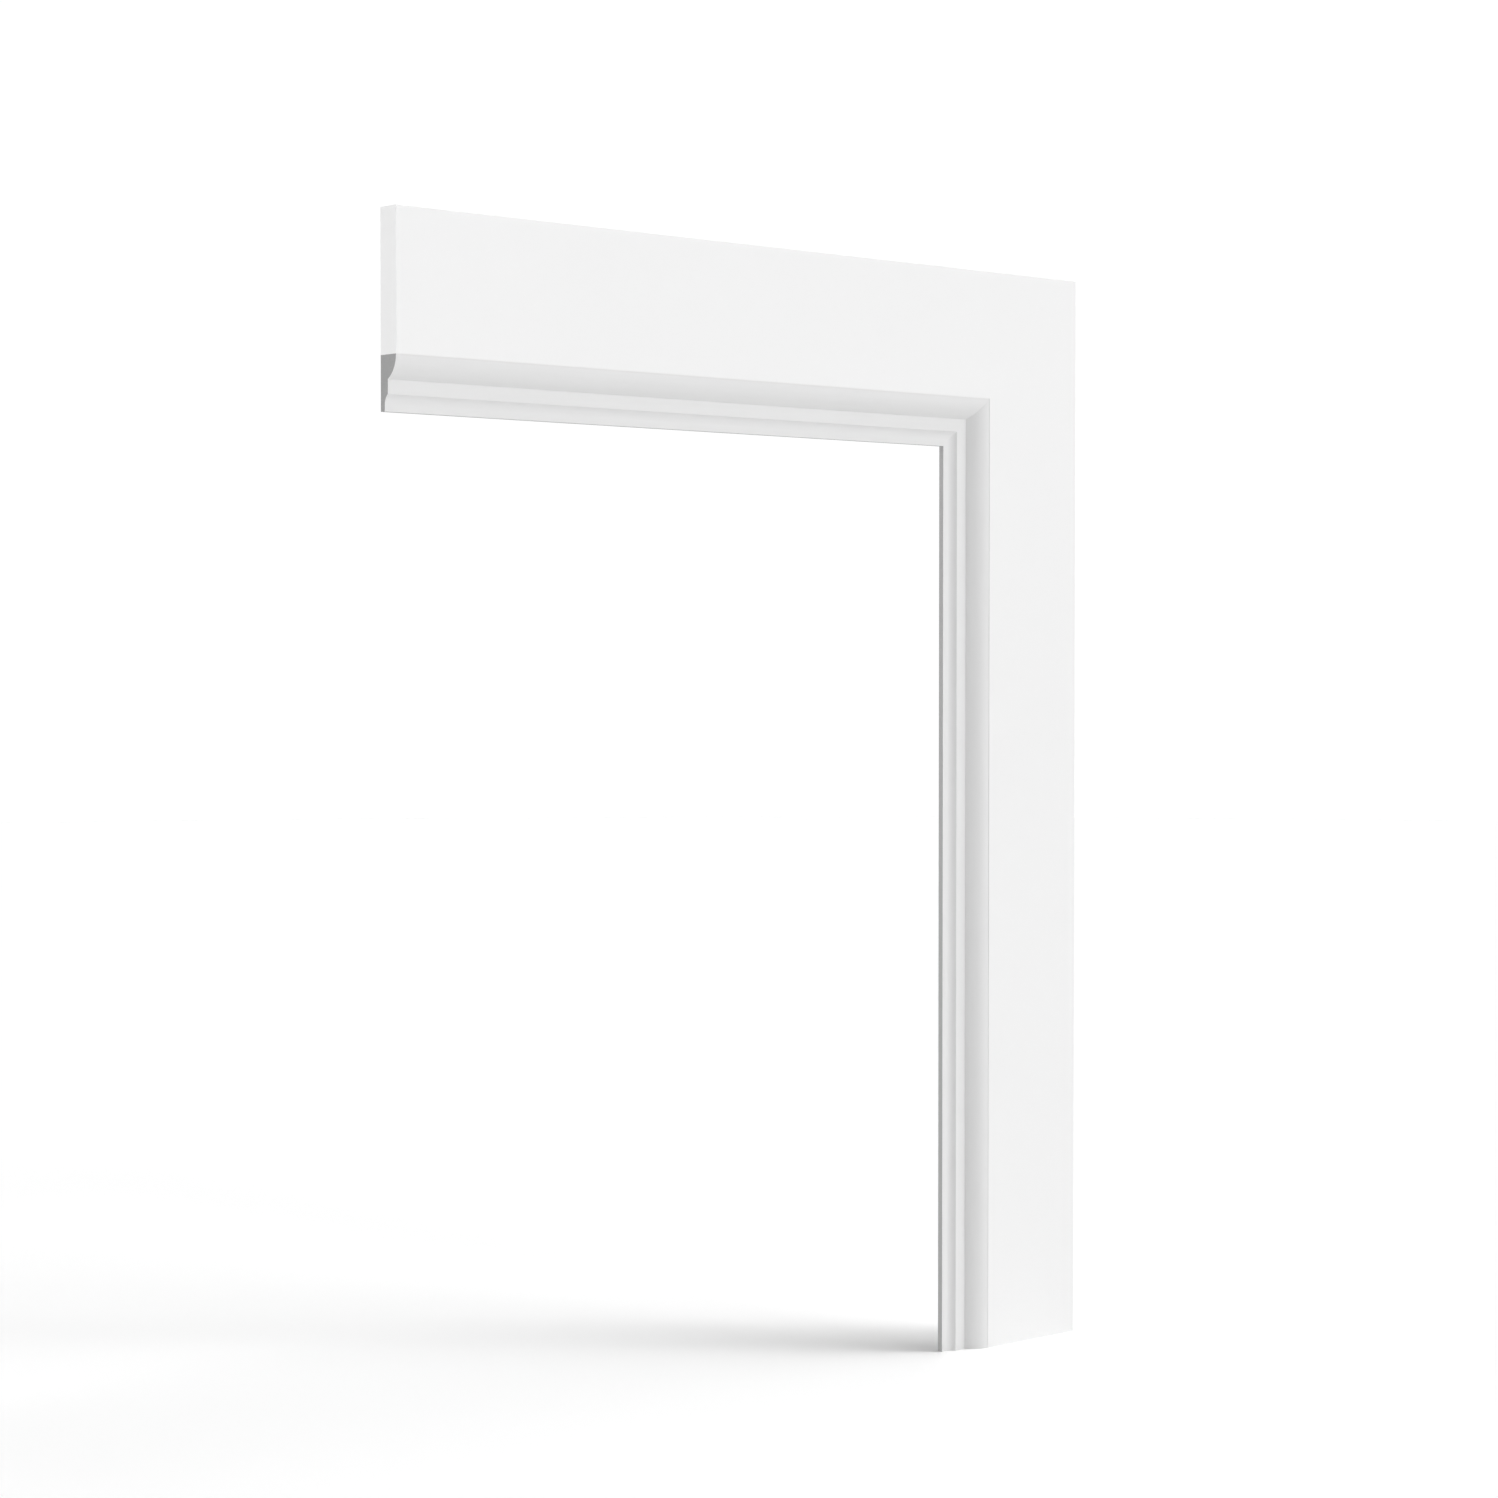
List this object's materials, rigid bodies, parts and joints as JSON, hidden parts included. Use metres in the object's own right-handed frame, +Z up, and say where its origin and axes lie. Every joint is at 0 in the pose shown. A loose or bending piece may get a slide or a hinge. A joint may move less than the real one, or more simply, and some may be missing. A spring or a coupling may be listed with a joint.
{
  "type": "bead moulding frame corner",
  "caption": "Inverted L corner of a flat white face frame with a stepped bead moulding mitred round its inner edge, fixed flat on a wall or cabinet to trim an opening.",
  "frame": {"origin": "on the back of the upright board, at the middle of its width and at its foot, in the plane of the wall that carries the frame", "axes": "+Z up the upright board, -Y out of the moulded front, +Y into the wall, +X from the head board's cut end towards the upright board's outer edge"},
  "size_m": [0.676, 0.018, 0.854],
  "materials": {
    "board_paint": "smooth white satin paint on fibreboard, on faces and ends alike",
    "bead_primer": "matt white primer on the moulded front, a shade greyer than the boards, with the cut end and the inner edge left as raw grey fibreboard",
    "dowel_beech": "plain turned beech, grooved along its length"
  },
  "bodies": {
    "root": {"upright_board": "board_paint", "head_board": "board_paint", "upright_bead": "bead_primer", "head_bead": "bead_primer", "upper_dowel": "dowel_beech", "lower_dowel": "dowel_beech"}
  },
  "joints": []
}
